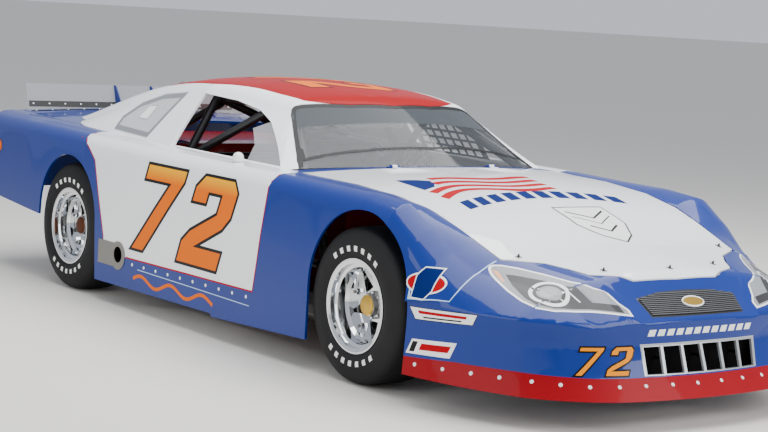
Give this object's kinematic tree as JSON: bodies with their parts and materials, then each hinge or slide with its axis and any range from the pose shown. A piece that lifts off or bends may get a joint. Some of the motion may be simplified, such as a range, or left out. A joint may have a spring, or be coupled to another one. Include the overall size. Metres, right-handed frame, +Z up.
{
  "type": "stock car",
  "caption": "Closed-body oval-track racing car with a tube frame, roll cage, steered front wheels, hinged hood and decklid, and a rear spoiler.",
  "frame": {"origin": "on the ground under the middle of the bounding box", "axes": "+X to the car's front, +Y to its left, +Z up"},
  "size_m": [5.075, 2.0168, 1.2242],
  "materials": {
    "white_paint": "gloss",
    "blue_paint": "gloss",
    "red_paint": "gloss",
    "red_plastic": "satin",
    "printed_lamp": "printed film on the nose cover",
    "dark_mesh": "satin",
    "grey_plastic": "silver paint",
    "clear_pane": "clear polycarbonate",
    "black_steel": "satin black paint on steel tube",
    "red_steel": "gloss red paint on sheet steel",
    "black_aluminium": "black anodised sheet",
    "black_grip": "padded grip on a steel ring",
    "net_webbing": "woven nylon webbing",
    "mirror_glass": "wide interior mirror",
    "engine_iron": "plain block standing for the engine",
    "raw_steel": "bare machined steel",
    "raw_aluminium": "bare aluminium",
    "tyre_rubber": "slick racing tyre",
    "wheel_chrome": "polished steel wheel"
  },
  "bodies": {
    "body": {"cowl": "blue_paint", "fender_right": "blue_paint", "fender_left": "blue_paint", "air_dam_strip": "red_plastic", "headlights": "printed_lamp", "nose_right": "blue_paint", "nose_left": "blue_paint", "upper_grille": "dark_mesh", "lower_grille": "grey_plastic", "door_right": "white_paint", "door_left": "white_paint", "rocker_skirts": "blue_paint", "deck_strip": "blue_paint", "quarter_right": "blue_paint", "quarter_left": "blue_paint", "tail_cover": "blue_paint", "roof": "red_paint", "sail_panels": "white_paint", "windshield": "clear_pane", "side_windows": "clear_pane", "rear_window": "clear_pane", "frame": "black_steel", "roll_cage": "black_steel", "interior_panels": "red_steel", "seat": "black_aluminium", "dashboard": "black_aluminium", "window_net": "net_webbing", "inside_mirror": "mirror_glass", "engine": "engine_iron", "driveline": "raw_steel", "radiator": "raw_aluminium", "fuel_cell": "black_aluminium", "front_suspension": "black_steel", "rack_housing": "raw_aluminium", "rear_axle": "black_steel", "rear_suspension": "black_steel", "exhaust": "raw_steel"},
    "hood_panel": {"hood": "white_paint"},
    "deck": {"decklid": "blue_paint", "spoiler_blade": "clear_pane", "spoiler_braces": "blue_paint"},
    "knuckle_r": {"knuckle_right": "raw_steel"},
    "knuckle_l": {"knuckle_left": "raw_steel"},
    "rack": {"steering_rack": "raw_steel"},
    "wheel_steering": {"steering_wheel": "black_grip"},
    "wheel_front_right": {"tyre_front_right": "tyre_rubber", "rim_front_right": "wheel_chrome", "hub_front_right": "raw_steel"},
    "wheel_front_left": {"tyre_front_left": "tyre_rubber", "rim_front_left": "wheel_chrome", "hub_front_left": "raw_steel"},
    "wheel_rear_right": {"tyre_rear_right": "tyre_rubber", "rim_rear_right": "wheel_chrome", "hub_rear_right": "raw_steel"},
    "wheel_rear_left": {"tyre_rear_left": "tyre_rubber", "rim_rear_left": "wheel_chrome", "hub_rear_left": "raw_steel"}
  },
  "joints": [
    {"name": "hood_hinge", "type": "hinge", "parent": "body", "child": "hood_panel", "pos_m": [0.65, 0, 0.88049], "axis": [0, -1, 0], "range_deg": [0, 50]},
    {"name": "decklid_hinge", "type": "hinge", "parent": "body", "child": "deck", "pos_m": [-2.027, 0, 0.90933], "axis": [0, 1, 0], "range_deg": [0, 55]},
    {"name": "steer_right", "type": "hinge", "parent": "body", "child": "knuckle_r", "pos_m": [1.3025, -0.77, 0.345], "axis": [0, 0, 1], "range_deg": [-22, 22]},
    {"name": "steer_left", "type": "hinge", "parent": "body", "child": "knuckle_l", "pos_m": [1.3025, 0.77, 0.345], "axis": [0, 0, 1], "range_deg": [-22, 22]},
    {"name": "rack_slide", "type": "slide", "parent": "body", "child": "rack", "axis": [0, 1, 0], "range_m": [-0.05, 0.05]},
    {"name": "steering_wheel_turn", "type": "hinge", "parent": "body", "child": "wheel_steering", "pos_m": [-0.06, 0.3, 0.77], "axis": [-0.9397, 0, 0.342], "range_deg": [-270, 270]},
    {"name": "spin_front_right", "type": "hinge", "parent": "knuckle_r", "child": "wheel_front_right", "pos_m": [1.3025, -0.835, 0.345], "axis": [0, 1, 0], "continuous": true},
    {"name": "spin_front_left", "type": "hinge", "parent": "knuckle_l", "child": "wheel_front_left", "pos_m": [1.3025, 0.835, 0.345], "axis": [0, 1, 0], "continuous": true},
    {"name": "spin_rear_right", "type": "hinge", "parent": "body", "child": "wheel_rear_right", "pos_m": [-1.3675, -0.835, 0.345], "axis": [0, 1, 0], "continuous": true},
    {"name": "spin_rear_left", "type": "hinge", "parent": "body", "child": "wheel_rear_left", "pos_m": [-1.3675, 0.835, 0.345], "axis": [0, 1, 0], "continuous": true}
  ],
  "couplings": [
    {"joint": "steer_left", "follows": "steer_right", "ratio": 1},
    {"joint": "rack_slide", "follows": "steer_right", "m_per_rad": 0.115},
    {"joint": "steering_wheel_turn", "follows": "steer_right", "ratio": 12}
  ]
}
